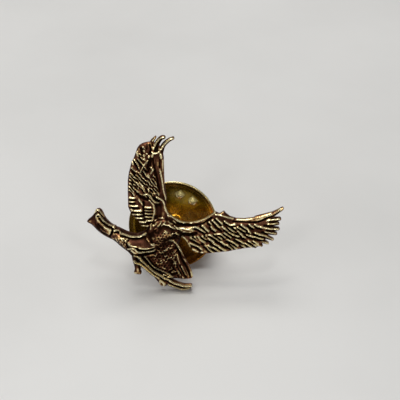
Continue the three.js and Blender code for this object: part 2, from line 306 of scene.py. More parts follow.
# Cut lines and raised ones: radius, then depth or height
RAISED_GROOVES = [
    (12, 30, -355, 390, -360, 240, -340, 150), (32, 25, -275, 920, -285, 840, -310, 780),
    (16, 20, -240, 930, -215, 800, -185, 660, -160, 520), (5, 12, -205, 925, -198, 830),
    (9, 26, -148, 930, -152, 820), (25, 25, -430, 490, -360, 440, -310, 420),
    (14, 28, -230, 440, -190, 410, -160, 400), (12, 20, -390, 1070, -370, 1000, -375, 960),
    (12, 25, -275, 1110, -260, 1040, -275, 995), (8, 15, -305, 1110, -310, 1050),
    (13, 20, -235, 1090, -250, 1140), (24, 36, -200, 1040, -175, 1100, -130, 1160),
    (16, 36, -120, 1020, -80, 1090, -30, 1135, 5, 1158),
]
RAISED_LINES = [
    (14, 34, -245, 960, -230, 998, -195, 998, -160, 1018), (18, 36, -140, 985, -135, 940),
    (11, 28, -150, 1045, -130, 1050), (11, 28, -120, 1085, -105, 1080),
    (15, 30, -285, 960, -285, 942), (12, 26, -348, 1035, -340, 1020),
    (13, 26, -348, 972, -340, 960), (12, 26, -342, 925, -335, 915), (10, 20, -315, 995, -305, 990),
    (11, 22, -230, 1062, -225, 1055),
    (9, 36, -295, 912, -330, 870, -360, 830, -382, 785, -410, 735),
    (10, 38, -152, 795, -138, 735, -125, 660, -114, 580, -105, 520, -90, 470, -80, 415),
    (7, 20, -112, 920, -114, 800, -105, 700, -98, 600), (12, 28, -490, 895, -478, 860),
    (12, 34, -432, 1015, -428, 995, -415, 965), (13, 34, -500, 812, -488, 810),
    (11, 28, -522, 740, -510, 715), (10, 30, -228, 800, -250, 770, -265, 745),
    (13, 32, -298, 725, -282, 715), (11, 24, -435, 635, -395, 605, -365, 575),
    (15, 24, -365, 585, -350, 545), (13, 28, -298, 545, -288, 510),
    (13, 34, -410, 412, -388, 385, -362, 345), (11, 24, -520, 305, -485, 280),
    (12, 40, -360, 475, -310, 485, -270, 462, -245, 415, -210, 385, -165, 375),
    (11, 24, -235, 492, -195, 495),
    (12, 42, -195, 450, -160, 430, -125, 410, -100, 360, -90, 300, -60, 240, -45, 200),
    (8, 26, -210, 1110, -175, 1160, -135, 1192, -100, 1202, -88, 1180),
    (10, 28, -100, 1115, -60, 1150, -20, 1178, 12, 1186),
]
SWEPT_GROOVES = [
    (16, 30, 60, 115, 150, 95, 260, 90, 350, 105, 430, 145, 490, 185),
    (20, 25, 140, -25, 220, -35, 300, -15), (12, 30, 760, 138, 900, 130, 1060, 130, 1170, 172),
    (10, 25, 220, -100, 260, -125, 330, -160), (13, 32, 1160, 175, 1260, 212, 1340, 262),
    (10, 36, 1150, 82, 1290, 74), (9, 30, 1210, 134, 1310, 140), (9, 32, 1170, 20, 1300, 12),
    (12, 30, 1120, 0, 1210, -28), (10, 26, 1140, -62, 1240, -95), (8, 20, 1100, -55, 1200, -90),
    (10, 30, 1070, -98, 1150, -120),
]
SWEPT_LINES = [
    (13, 46, -25, 212, 10, 190, 50, 162, 100, 136, 160, 124, 240, 127, 320, 140, 400, 170,
     470, 210, 535, 255),
    (6, 22, 250, 95, 320, 102, 380, 130, 420, 152),
    (15, 40, 65, 50, 130, 55, 180, 42, 235, 36, 260, 26), (7, 20, 135, 6, 230, 0),
    (10, 30, 540, 225, 590, 220, 650, 200, 710, 184, 760, 172), (8, 24, 610, 230, 642, 260),
    (13, 40, 125, -55, 150, -78, 178, -105, 188, -140, 212, -170, 220, -195),
    (10, 24, 210, -142, 240, -146), (14, 30, 230, -50, 238, -80), (12, 22, 300, -252, 320, -255),
    (11, 20, 360, -260, 385, -262), (13, 20, 810, 166, 950, 168, 1100, 200, 1230, 240),
    (9, 22, 1240, 252, 1350, 298), (10, 28, 1180, 150, 1250, 162, 1335, 172),
    (10, 26, 1190, 105, 1250, 108, 1315, 114), (11, 30, 1140, 60, 1220, 46, 1320, 42),
    (10, 28, 1160, 4, 1230, -8, 1290, -18), (11, 30, 1030, -2, 1130, -36, 1250, -90),
    (11, 30, 1050, -90, 1120, -115, 1195, -142), (9, 22, 1040, -160, 1110, -178),
]
TRUNK_GROOVES = [
    (14, 50, -750, 60, -742, 20, -760, -20, -785, -62), (13, 36, -720, 0, -690, 4, -670, -8),
    (11, 20, -640, -42, -540, -74, -450, -84, -370, -75),
    (10, 36, -450, -200, -410, -230, -330, -234, -250, -220),
    (16, 40, -490, -285, -420, -295, -320, -282, -220, -260),
    (10, 30, -290, -30, -270, -90, -245, -135), (14, 34, -530, -250, -500, -275, -495, -310),
    (10, 30, -545, -95, -570, -150, -545, -195),
]
TRUNK_LINES = [
    (13, 46, -648, -8, -600, -24, -540, -45, -490, -55, -430, -58, -380, -45, -350, -22),
    (24, 40, -345, -25, -335, -12), (15, 36, -735, 62, -715, 55),
    (12, 36, -730, 20, -690, 26, -652, 18, -645, -10),
    (9, 30, -555, -122, -530, -158, -495, -177, -440, -185),
    (9, 24, -410, -202, -360, -212, -280, -208, -220, -185),
    (13, 46, -550, -212, -500, -205, -460, -220, -440, -248, -400, -260, -355, -250, -300, -246,
     -250, -238, -210, -220),
    (10, 24, -510, -235, -490, -242), (14, 38, -250, -155, -230, -162),
    (8, 24, -320, -70, -290, -110, -262, -145), (14, 28, -242, -70, -230, -74),
    (12, 34, -478, -298, -472, -302), (8, 22, -215, 150, -160, 182, -100, 175),
    (12, 34, -238, 90, -230, 82), (9, 32, -210, 95, -195, 125),
    (9, 34, -180, 75, -155, 100, -135, 140), (9, 32, -130, 85, -105, 110, -85, 140),
    (10, 36, -95, 100, -60, 90, -25, 92), (8, 30, -50, 142, -30, 120, 5, 105),
    (10, 38, -30, 75, 5, 62, 35, 45), (10, 36, 30, 80, 75, 50, 120, 22),
    (8, 30, 15, 142, 40, 118, 70, 105), (10, 30, -85, 22, -60, 2), (11, 38, 45, -6, 80, -30),
    (7, 16, 20, -15, 0, -10, -20, -30, 0, -50, 25, -45),
    (8, 20, -220, 35, -200, 48, -180, 30, -200, 10),
]
OTHER_GROOVES = [  # the tail, the legs, the head
    (14, 34, 50, -190, 90, -280, 120, -360, 190, -490, 220, -580),
    (13, 32, 50, -420, 95, -520, 120, -590), (14, 34, 90, -420, 140, -520, 175, -595),
    (12, 30, 10, -460, 50, -540, 75, -590), (12, 28, -50, -500, -10, -540, 30, -550),
    (11, 60, -445, -350, -390, -395, -335, -442, -275, -500, -210, -548, -140, -585),
    (13, 55, -375, -320, -330, -380, -280, -440, -220, -487, -150, -520),
    (10, 25, -300, -350, -260, -400, -210, -450, -150, -475), (13, 45, -100, -570, -80, -578),
    (8, 45, -50, -660, 30, -695, 110, -724, 210, -720), (10, 34, -160, -595, -90, -625, -40, -620),
    (8, 20, -435, -390, -410, -450, -405, -510),
    (6, 12, -962, 210, -960, 150, -962, 95),
    (6, 20, -955, 240, -925, 258, -895, 235, -872, 200, -850, 166),
    (12, 30, -925, 205, -905, 180, -885, 145, -860, 120, -830, 90, -800, 70, -770, 55),
    (6, 16, -940, 155, -920, 160, -910, 180), (10, 24, -920, 110, -895, 80, -860, 60),
    (7, 20, -890, 10, -840, -20, -800, -42), (3, 6, -1040, 132, -1000, 130, -970, 122),
]
OTHER_LINES = [  # the tail, the legs, the head
    (11, 50, -30, -100, 5, -102, 35, -130, 75, -185, 110, -250, 142, -308),
    (5, 15, 115, -200, 140, -240, 158, -280), (8, 22, 150, -350, 190, -415, 230, -500, 250, -575),
    (9, 36, 75, -500, 100, -550, 130, -595), (9, 36, 115, -440, 142, -500, 170, -555),
    (6, 24, 60, -300, 80, -370, 100, -430), (6, 24, 105, -330, 140, -410, 180, -500, 210, -575),
    (7, 26, 25, -490, 50, -550, 65, -590), (8, 26, 20, -360, 40, -400, 46, -440),
    (9, 24, -150, -372, -120, -355, -100, -360), (9, 24, -10, -320, -40, -325, -60, -342),
    (15, 42, -415, -325, -390, -360, -360, -382, -330, -415, -290, -455, -250, -495, -215, -518,
     -170, -542, -120, -575, -95, -593),
    (14, 38, -470, -382, -440, -402, -400, -412, -360, -436, -330, -470, -300, -497, -270, -520,
     -240, -545, -200, -572, -160, -598),
    (16, 30, -470, -385, -460, -390),
    (10, 40, -345, -310, -290, -380, -240, -440, -160, -485, -90, -520, -10, -568),
    (12, 42, -110, -550, -60, -578, 2, -580), (10, 34, -85, -622, -75, -628),
    (12, 42, -90, -595, -29, -630, 30, -660, 100, -684, 150, -698, 230, -698),
    (10, 36, -54, -675, 21, -705, 96, -734, 150, -741, 210, -728),
    (9, 28, -150, -615, -160, -660, -135, -695, -100, -690), (12, 20, -475, -528, -460, -532),
    (9, 30, -990, 210, -965, 245, -945, 275, -923, 284, -895, 262, -870, 225, -850, 190),
    (8.5, 42, -945, 185, -940, 220, -920, 232, -898, 212, -880, 180, -854, 150, -820, 120,
     -791, 100, -760, 82, -725, 66),
    (10, 20, -930, 160, -920, 150), (6, 15, -900, 135, -880, 110, -860, 100),
    (8, 22, -890, 45, -860, 15, -840, 5), (9, 22, -822, 0, -800, -15),
]

# Short level bars down the raised wing's foot: from one x to another, at y
BARS = [
    (-530, -470, 436), (-530, -475, 390), (-515, -430, 334), (-495, -385, 274), (-490, -380, 230),
    (-445, -360, 182), (-405, -310, 130), (-390, -305, 80), (-340, -265, 316), (-340, -260, 280),
    (-335, -265, 240), (-340, -275, 198), (-310, -270, 150),
]

# Single feathers, each from its root to its tip
RAISED_FEATHERS = [
    (-475, 925, -430, 875, -415, 845), (-450, 880, -420, 840, -405, 805),
    (-420, 925, -380, 880, -350, 850), (-390, 955, -360, 920), (-495, 815, -460, 780, -435, 750),
    (-510, 750, -475, 710, -450, 685), (-335, 820, -310, 785), (-355, 775, -330, 740),
    (-275, 830, -250, 810), (-360, 1080, -340, 1060), (-400, 990, -375, 975),
    (-255, 1020, -240, 1005),
]
SWEPT_UPPER = [
    (260, 62, 290, 66, 330, 48, 365, 28, 410, 2), (370, 88, 400, 65, 422, 38, 450, 15),
    (485, 72, 505, 45, 538, 22), (460, 130, 485, 110), (500, 152, 535, 120, 570, 85),
    (550, 175, 585, 142, 620, 110), (560, 90, 595, 60, 630, 30),
    (650, 142, 695, 110, 730, 90, 780, 100), (620, 72, 660, 42, 695, 20),
    (700, 62, 740, 30, 770, 10), (760, 70, 800, 40, 835, 12), (815, 65, 860, 38, 910, 12, 960, 8),
    (860, 95, 900, 65, 935, 45), (960, 100, 990, 75, 1020, 60), (1030, 100, 1070, 75, 1120, 62),
]
SWEPT_MIDDLE = [
    (260, -85, 310, -120, 350, -145), (275, -50, 320, -95, 390, -140),
    (320, -55, 350, -88, 405, -125), (370, -50, 415, -82, 455, -102),
    (420, -40, 460, -80, 515, -125), (450, -35, 485, -42, 570, -95),
    (530, -25, 570, -50, 615, -82), (560, -20, 610, -26, 660, -66), (650, -10, 690, -35, 730, -62),
    (710, 0, 765, -32), (750, -20, 795, -45, 835, -52), (800, 2, 835, -5, 870, -30),
    (860, -45, 910, -65), (920, -20, 970, -45, 1010, -60), (950, 25, 975, -10),
    (1030, -5, 1080, -25, 1130, -36), (1040, -60, 1080, -75, 1125, -85),
]
SWEPT_LOWER = [
    (250, -155, 310, -176, 340, -198, 365, -220), (250, -220, 290, -236),
    (410, -170, 435, -190, 465, -225, 515, -260), (450, -170, 510, -210, 590, -255),
    (510, -190, 585, -240), (570, -110, 610, -120, 635, -145, 700, -188),
    (490, -135, 550, -165, 610, -200), (595, -195, 660, -238), (690, -160, 750, -215),
    (730, -150, 800, -210), (760, -130, 815, -170), (690, -95, 740, -120, 780, -135),
    (790, -85, 840, -110, 870, -130), (860, -160, 910, -188), (865, -118, 895, -142),
    (920, -145, 990, -188), (950, -110, 1000, -140, 1045, -175), (1010, -112, 1065, -148),
]

# Broad patches of darker colour, and painted highlights along bright lines where the amount is
# above 0: radius, amount
DARK_PATCHES_AND_HIGHLIGHTS = [
    (80, -55, -530, -100, -420, -135, -300, -135), (70, -35, 100, -320, 150, -460, 170, -560),
    (30, -40, 180, -390, 225, -500), (150, -65, -260, -60, -100, -70, 40, -40),
    (210, -50, -240, -340, -80, -320, 40, -460), (60, 22, -170, 340, -170, 220),
    (80, -30, -260, 900, -230, 740, -190, 580), (70, -30, -490, 720, -490, 540),
    (90, -25, -390, 860, -340, 700, -290, 560), (70, -25, -340, 1080, -290, 1030),
    (70, -30, -360, 430, -360, 360), (60, -35, -990, 140, -1030, 135),
    (70, -80, -920, 70, -820, 0), (45, -50, -935, 150, -870, 80),
    (16, 40, -970, 240, -925, 286, -880, 245, -820, 160), (90, -65, -710, -50, -590, -170),
    (50, -30, -450, -390, -440, -520), (15, 40, -30, -100, 35, -130, 75, -185, 142, -308),
    (30, 15, -100, 100, 0, 60), (35, -30, 90, 100, 260, 90, 440, 150),
    (60, -12, 560, 90, 700, 40, 950, 80), (60, -15, 560, -190, 800, -130, 1000, -140),
    (35, -30, 120, -10, 260, -40), (30, -40, 1260, 235, 1370, 275), (50, 15, 330, -110, 410, -140),
    (40, 20, -200, 990, -140, 960),
    (16, 35, -20, 210, 50, 162, 160, 124, 320, 140, 440, 192, 535, 255),
    (18, 30, -640, -10, -500, -54, -360, -35),
    (32, 70, -410, -330, -290, -455, -170, -542, -90, -595),
    (30, 65, -470, -385, -360, -436, -240, -537, -160, -585), (22, 60, -110, -547, 2, -578),
    (22, 45, -60, -620, 60, -675, 220, -700), (18, 35, -50, -675, 90, -745, 200, -740),
    (20, 30, -30, -100, 35, -130, 75, -185, 142, -308),
]


def build_forms(relief):
    """The large shapes: wings, tail, trunk and head, then end feathers and legs."""
    for edge, height, rounding, bulge in [
        (RAISED_EDGE, 0.78, 0.22, 0.03), (SWEPT_EDGE, 0.78, 0.22, 0.03),
        (TAIL_EDGE, 0.7, 0.2, 0.08), (BODY_EDGE, 0.95, 0.45, 0.3), (HEAD_EDGE, 0.85, 0.25, 0.3),
    ]:
        relief.plate(*paths([edge]), height, rounding, bulge)
    for path, radius, end, height in strokes(SWELLS, 3):
        relief.swell(wide(path, radius, end), height)
    for path, radius, end, height in strokes(TIPS + LEGS, 3):
        relief.fill(wide(path, radius, end), height)


# ---- The eagle's chasing: lines cut and raised ----

def chase(relief, grooves, lines):
    """Cut hollow lines, then raise round ones that thin towards their ends."""
    for path, radius, depth in strokes(grooves):
        relief.carve(wide(path, radius), depth)
    for path, radius, height in strokes(lines):
        relief.ridge(wide(path, radius, 0.75 * radius), height)


def plumes(relief, feathers, radius, height, groove):
    """Feathers as raised strokes, each from a root to a tip, each with a dark gap below it."""
    for path in feathers:
        line = np.array(path, float)
        along = line[-1] - line[0]
        side = np.array([along[1], -along[0]]) / np.hypot(*along)
        relief.carve(wide(line + side * 1.5 * radius, radius), groove)
    for path in feathers:
        relief.ridge(wide(path, 0.75 * radius, radius), height)


def loose_rows(rng, roots, sweep, pitch, jitter):
    """Feather strokes on slanting rows: roots along a guide line, each swept by about sweep."""
    line = smooth(roots, 0.02)
    length = np.cumsum(np.hypot(*np.diff(line, axis=0).T))
    out = []
    for place in np.arange(0.5 * pitch, length[-1], pitch):
        root = line[np.searchsorted(length, place)] + rng.uniform(-jitter, jitter, 2)
        tip = root + np.array(sweep) * rng.uniform(0.8, 1.15)
        bow = 0.5 * (root + tip) + rng.uniform(0.02, 0.1) * np.array([1, 1])
        out.append([tuple(root), tuple(bow), tuple(tip)])
    return out


def chase_raised_wing(relief):
    """Loose slanting rows of feathers, level bars down the wing's foot and single strokes."""
    rng = np.random.default_rng(3)
    for roots, sweep, pitch in [
        ([(-5.3, 5.2), (-5.28, 6.6), (-5.0, 8.0)], (0.55, -0.62), 0.42),
        ([(-4.75, 5.4), (-4.7, 6.8), (-4.4, 7.8)], (0.6, -0.6), 0.44),
        ([(-4.0, 5.6), (-3.9, 6.6), (-3.65, 7.5)], (0.55, -0.62), 0.42),
        ([(-3.3, 5.5), (-3.2, 6.5), (-3.0, 7.2)], (0.5, -0.6), 0.44),
        ([(-2.65, 5.4), (-2.5, 6.4), (-2.2, 7.4)], (0.42, -0.62), 0.4),
        ([(-2.1, 5.2), (-1.95, 6.2)], (0.36, -0.6), 0.45),
        ([(-4.3, 4.9), (-3.3, 4.75), (-2.5, 5.2)], (0.3, -0.45), 0.5),
    ]:
        plumes(relief, loose_rows(rng, roots, sweep, pitch, 0.05), 0.1, 0.17, 0.22)
    plumes(relief, paths(RAISED_FEATHERS), 0.1, 0.26, 0.3)
    for x0, x1, y in np.array(BARS) / 100:
        relief.carve(wide([(x0 - 0.1, y - 0.24), (x1 + 0.1, y - 0.27)], 0.14), 0.34)
        relief.ridge(wide([(x0, y + 0.06), (0.5 * (x0 + x1), y - 0.03), (x1, y)], 0.1), 0.2)
    chase(relief, RAISED_GROOVES, RAISED_LINES)


def chase_swept_wing(relief):
    """Broken rows of feathers that slant down towards the tips, and the bright leading edge."""
    rng = np.random.default_rng(11)
    for rows, radius, height, groove in [(SWEPT_UPPER, 0.155, 0.32, 0.36),
                                         (SWEPT_MIDDLE, 0.16, 0.34, 0.36),
                                         (SWEPT_LOWER, 0.15, 0.32, 0.34)]:
        plumes(relief, paths(rows), radius, height, groove)
    plumes(relief, loose_rows(rng, [(5.9, 1.0), (7.4, 0.6), (9.2, 0.6)], (0.35, -0.24), 0.55, 0.1),
           0.07, 0.1, 0.1)
    chase(relief, SWEPT_GROOVES, SWEPT_LINES)


def chase_trunk(relief):
    rng = np.random.default_rng(7)
    chase(relief, TRUNK_GROOVES, TRUNK_LINES)
    # fine upright streaks in the plain band across the breast
    for x in np.arange(-4.9, -2.9, 0.17):
        low = -1.8 - 0.1 * math.sin(3 * x)
        relief.carve(wide([(x, -0.95), (x + 0.06 * rng.uniform(-1, 1), low)], 0.05), 0.05)
    # small scales on the throat, curled ones over the back and the root of the tail
    for x, y, share in scattered(rng, (-7.5, -5.2, -2.4, -0.4), 0.36):
        if on_throat(x, y):
            relief.carve(wide([(x + 0.12, y - 0.16), (x + 0.22, y)], 0.08), 0.22)
            relief.ridge(wide([(x - 0.08, y + 0.06), (x + 0.06, y - 0.05)], 0.11),
                         0.12 + 0.14 * share)
    for x, y, share in scattered(rng, (-2.7, 1.5, -5.3, 0.4), 0.4):
        if not on_back(x, y):
            continue
        turn = 0.6 + rng.uniform(-0.9, 0.9) + math.pi * (share > 0.7)
        arc = [(x + 0.15 * math.cos(a), y + 0.15 * math.sin(a))
               for a in (turn, turn + 1.2, turn + 2.4)]
        relief.carve(wide([(x, y), (x + 0.02, y + 0.02)], 0.13), 0.24)
        relief.ridge(wide(arc, 0.07), 0.05 + 0.22 * share**2)


def scattered(rng, box, pitch):
    """Places on a staggered grid, each moved a little, with a share from 0 to 1."""
    x0, x1, y0, y1 = box
    for j in range(int((y1 - y0) / (pitch * 0.87))):
        for i in range(int((x1 - x0) / pitch)):
            x = x0 + pitch * (i + 0.5 * (j % 2)) + rng.uniform(-0.2, 0.2) * pitch
            y = y0 + 0.87 * pitch * j + rng.uniform(-0.2, 0.2) * pitch
            yield x, y, rng.uniform()


def on_throat(x, y):
    """On the throat and the breast's lower left side."""
    return x < -5.5 and -1.15 - 0.75 * (x + 7.3) < y < min(-0.5, 0.1 - 0.55 * (x + 7.0))


def on_back(x, y):
    """On the back and on the tail's root, left of the tail's bright line."""
    if y > -1.0:
        return -2.2 < x < 0.9
    left = -2.2 if y > -3.0 else -3.3 + 0.75 * (-3.0 - y)
    return left < x < min(0.15 + 0.5 * (-1.0 - y), 0.6)


def hollow_between_wings(relief):
    """The plain sunken web between the two bright lines at the raised wing's root."""
    relief.swell(wide([(-1.7, 3.4), (-1.65, 2.8), (-1.7, 2.2), (-1.9, 1.9)], 0.62, 0.55), -0.4)
    relief.ridge(wide([(-2.9, 4.1), (-2.45, 3.65), (-2.25, 3.2), (-2.2, 2.6), (-2.4, 1.9),
                       (-2.6, 1.2), (-2.72, 0.4)], 0.08), 0.2)


def sculpt_eagle():
    relief = Relief((-11.0, -8.0), (14.4, 12.6), CELL)
    build_forms(relief)
    hollow_between_wings(relief)
    chase_raised_wing(relief)
    chase_swept_wing(relief)
    chase_trunk(relief)
    chase(relief, OTHER_GROOVES, OTHER_LINES)
    # darker patches, and painted highlights where the amount is above 0
    for path, radius, amount in strokes(DARK_PATCHES_AND_HIGHLIGHTS):
        relief.darken_or_highlight(wide(path, radius), amount)
    inside = relief.inside > 0
    relief.height = np.maximum(relief.height, EDGE)
    relief.height = 0.5 * relief.height + 0.5 * blur(relief.height, inside, CELL, CELL)
    return relief


def relief_mesh(relief):
    """The relief as one closed mesh: its face, a wall round the outline and a flat back."""
    inside = relief.inside > 0
    cells = inside[:-1, :-1] & inside[1:, :-1] & inside[:-1, 1:] & inside[1:, 1:]
    used = np.zeros(inside.shape, bool)
    whole = np.zeros(inside.shape, int)
    for dj in (0, 1):
        for di in (0, 1):
            part = (slice(dj, inside.shape[0] - 1 + dj), slice(di, inside.shape[1] - 1 + di))
            used[part] |= cells
            whole[part] += cells
    index = np.full(inside.shape, -1)
    index[used] = np.arange(used.sum())
    gx, gy = np.meshgrid(relief.x, relief.y)
    slope_y, slope_x = np.gradient(relief.inside, relief.cell)
    steep = np.maximum(np.hypot(slope_x, slope_y), 0.3)
    rim = used & (whole < 4)
    shift = np.where(rim, np.clip(relief.inside, 0, 1.2 * relief.cell), 0)
    px = gx - slope_x / steep * shift
    py = gy - slope_y / steep * shift
    # every stroke was placed as seen from a little above, so the high parts go up by as much
    py += LEAN * np.clip(blur(relief.height, inside, 0.3, relief.cell) - LEAN_FROM, 0, None)
    fine = relief.height - blur(relief.height, inside, 0.24, relief.cell)
    crest = (fine - blur(fine, inside, 0.7, relief.cell)) / CREST_HEIGHT
    # polish and a painted highlight along the outline, lifted most where the crest is low
    worn_and_lit_edge = np.exp(-(relief.inside / WORN_AND_LIT_BAND)**2)
    crest = np.clip(crest, -1, 1) + worn_and_lit_edge * (0.35 + np.clip(-crest, 0, 0.6))
    crest = np.clip(crest + relief.tone - 0.08, -1, 1)
    count = used.sum()
    face = np.column_stack([px[used], py[used], relief.height[used]])
    back = np.column_stack([px[used], py[used], np.zeros(count)])
    tone = np.concatenate([crest[used], np.full(count, BACK_TONE)])
    j, i = np.nonzero(cells)
    a, b = index[j, i], index[j, i + 1]
    c, d = index[j + 1, i + 1], index[j + 1, i]
    quads = np.column_stack([a, b, c, d])
    edges = np.vstack([quads[:, [0, 1]], quads[:, [1, 2]], quads[:, [2, 3]], quads[:, [3, 0]]])
    known = set(map(tuple, edges.tolist()))
    border = [(s, t) for s, t in known if (t, s) not in known]
    border.sort()
    walls = [(s, s + count, t + count, t) for s, t in border]
    faces = quads.tolist() + (quads[:, ::-1] + count).tolist() + walls
    return np.vstack([face, back]), faces, tone


# ---- Clutch forms ----

def skinned(rings, closed=False):
    """A solid over a row of rings with equally many points. It is closed round or capped, and
    each ring runs counterclockwise as the next one sees it."""
    count, faces = len(rings[0]), []
    for k in range(len(rings) - (not closed)):
        here, there = k * count, (k + 1) % len(rings) * count
        for i in range(count):
            j = (i + 1) % count
            faces.append((here + i, here + j, there + j, there + i))
    if not closed:
        faces += [tuple(reversed(range(count))), tuple(range(there, there + count))]
    return [point for ring in rings for point in ring], faces


def turned(profile, sides):
    """A solid of revolution about the post, its closed profile given as (radius, behind)."""
    angles = [2 * math.pi * k / sides for k in range(sides)]
    return skinned([[(r * math.cos(a), r * math.sin(a), -d) for r, d in profile] for a in angles],
                   closed=True)


def welded(verts, faces):
    """The same solid with points in one place joined and faces without area left out."""
    first = {}
    index = [first.setdefault(tuple(round(c, 6) for c in v), len(first)) for v in verts]
    joined = [tuple(dict.fromkeys(index[v] for v in face)) for face in faces]
    return list(first), [face for face in joined if len(face) > 2]


def on_clutch(out, across, behind, degrees):
    angle = math.radians(degrees)
    return (out * math.cos(angle) - across * math.sin(angle),
            out * math.sin(angle) + across * math.cos(angle), -behind)


def sheet(path, thickness, degrees, hole=None):
    """Bent sheet metal with soft edges. The path gives (out, behind, half width); a hole is
    (out from, out to, half width) and cuts the flat part."""
    line = smooth(path, 0.1)
    across = np.linspace(-1, 1, 41)
    along = np.gradient(line[:, :2], axis=0)
    along /= np.hypot(*along.T)[:, None]
    arc = np.concatenate([[0], np.cumsum(np.hypot(*np.diff(line[:, :2], axis=0).T))])
    verts, cells, count = [], [], len(across)
    for (out, behind, half), (da, db), place in zip(line, along, arc):
        for t in across:
            border = min(place, arc[-1] - place, half * (1 - abs(t))) / 0.16
            swell = 0.5 * thickness * math.sqrt(1 - (1 - min(border, 1))**2 * 0.85)
            for side in (-1, 1):
                verts.append(on_clutch(out - side * db * swell, t * half,
                                       behind + side * da * swell, degrees))
    for i in range(len(line) - 1):
        for j in range(count - 1):
            out = 0.5 * (line[i, 0] + line[i + 1, 0])
            level = abs(line[i, 1] - line[i + 1, 1]) < 0.01
            side = abs(0.5 * (across[j] + across[j + 1])) * line[i, 2]
            if not (hole and level and hole[0] < out < hole[1] and side < hole[2]):
                cells.append((i * count + j, (i + 1) * count + j, (i + 1) * count + j + 1,
                              i * count + j + 1))
    edges = {(c[k], c[(k + 1) % 4]) for c in cells for k in range(4)}
    border = sorted((a, b) for a, b in edges if (b, a) not in edges)
    faces = [tuple(2 * v for v in c) for c in cells]
    faces += [tuple(2 * v + 1 for v in reversed(c)) for c in cells]
    faces += [(2 * b, 2 * a, 2 * a + 1, 2 * b + 1) for a, b in border]
    return verts, faces


def staked_boss(degrees):
    """The flattened end of a cover leg, standing out of the dish as a crushed lump."""
    rings, sides = [], 9
    for scale, rise in [(1, -0.12), (1, 0.08), (0.78, 0.3), (0.25, 0.42)]:
        ring = []
        for k in range(sides):
            angle = 2 * math.pi * k / sides
            reach = scale * (1 + 0.14 * math.sin(2.6 * k + degrees))
            ring.append(on_clutch(BOSS_CIRCLE + 0.6 * reach * math.cos(angle),
                                  0.66 * reach * math.sin(angle), FLOOR - rise, degrees))
        rings.append(ring)
    return skinned(rings)


def merged(*parts):
    verts, faces = [], []
    for more, polygons in parts:
        faces += [tuple(v + len(verts) for v in polygon) for polygon in polygons]
        verts += more
    return verts, faces


def dish_profile():
    """The dish from the collar round its hole, over the rolled rim, to its back."""
    lip = CLUTCH_RADIUS - ROLL
    front = [(0.68, FLOOR - 0.3), (0.74, FLOOR - 0.36), (0.86, FLOOR - 0.34), (0.97, FLOOR - 0.2),
             (1.12, FLOOR - 0.04), (1.35, FLOOR), (2.5, FLOOR), (3.8, FLOOR), (4.5, FLOOR - 0.02),
             (4.95, FLOOR - 0.12), (5.2, FLOOR - 0.32), (5.32, FLOOR - 0.65),
             (5.4, CLUTCH_FRONT + 0.25), (lip - ROLL, CLUTCH_FRONT + 0.1)]
    roll = [(lip + ROLL * math.sin(a), CLUTCH_FRONT + ROLL - ROLL * math.cos(a))
            for a in np.linspace(-0.9, 2.8, 10)]
    back = [(5.62, CLUTCH_FRONT + 0.5), (5.56, FLOOR - 0.25), (5.42, FLOOR + 0.08),
            (5.1, FLOOR + 0.24), (4.6, FLOOR + SHEET), (2.5, FLOOR + SHEET), (0.68, FLOOR + SHEET)]
    return front + roll + back


def clutch_disc():
    return merged(turned(dish_profile(), 96), *(staked_boss(a) for a in BOSS_ANGLES))


def clutch_cover():
    """The bridge over the jaws, with a foot on each side staked to the disc."""
    base = FLOOR + SHEET + GAP + SHEET / 2
    side = [(4.6, 0.0, 1.3), (4.45, 0.0, 1.75), (4.2, 0.0, 1.98), (3.85, 0.02, 2.0),
            (3.62, 0.2, 2.0), (3.45, 0.8, 2.0), (3.1, 1.8, 2.0), (2.75, 2.75, 2.0),
            (2.5, 3.2, 2.0), (2.05, 3.45, 2.0), (1.2, 3.5, 2.0)]
    path = side + [(-out, rise, half) for out, rise, half in reversed(side)]
    return sheet([(out, base + rise, half) for out, rise, half in path], SHEET, BOSS_AXIS)


def finger_ear(layer):
    """A jaw plate, cut out round the post, turned up into an ear for a finger and a thumb."""
    level = FLOOR + SHEET + GAP + JAW / 2 + layer * (JAW + GAP)
    path = [(-1.5, 0, 1.95), (-1.4, 0, 1.95), (-0.6, 0, 1.95), (-0.5, 0, 1.95), (0.9, 0, 1.95),
            (1.2, 0, 1.95), (2.2, 0, 1.95), (2.6, 0.05, 1.95), (3.0, 0.35, 1.95), (3.7, 1.1, 1.9),
            (4.3, 1.85, 1.75), (4.62, 2.3, 1.45), (4.76, 2.52, 1.1)]
    return sheet([(out, level + rise, half) for out, rise, half in path], JAW,
                 BOSS_AXIS + 90 + 180 * layer, (-0.62, 1.12, 0.62))


def grip_spring():
    """The open ring of spring wire."""
    centre = FLOOR + SHEET + GAP + 2 * (JAW + GAP) + SPRING_WIRE + GAP
    tilts = [2 * math.pi * m / 16 for m in range(16)]
    section = [(SPRING_RADIUS + SPRING_WIRE * math.cos(a), SPRING_WIRE * math.sin(a))
               for a in tilts]
    turns = [math.radians(15 + 330 * k / 64) for k in range(65)]
    return skinned([[(r * math.cos(a), r * math.sin(a), -centre - z) for r, z in section]
                    for a in turns])


def pin_post():
    """The tack post on its pad, with the groove that the jaws grip and a ground point."""
    profile = [(0.0, GAP), (0.98, GAP), (1.0, 0.08), (1.0, 0.34), (0.96, 0.4), (0.8, 0.44),
               (0.66, 0.55), (0.59, 0.72), (POST_RADIUS, 0.9), (POST_RADIUS, 4.85), (0.5, 4.93),
               (0.42, 5.02), (0.4, 5.1), (0.4, 5.6), (0.42, 5.68), (0.5, 5.77),
               (POST_RADIUS, 5.85), (POST_RADIUS, 6.8), (0.55, 6.95), (0.4, 7.4), (0.2, 7.85),
               (0.1, 7.97), (0.0, POST_LENGTH)]
    return welded(*turned(profile, 48))


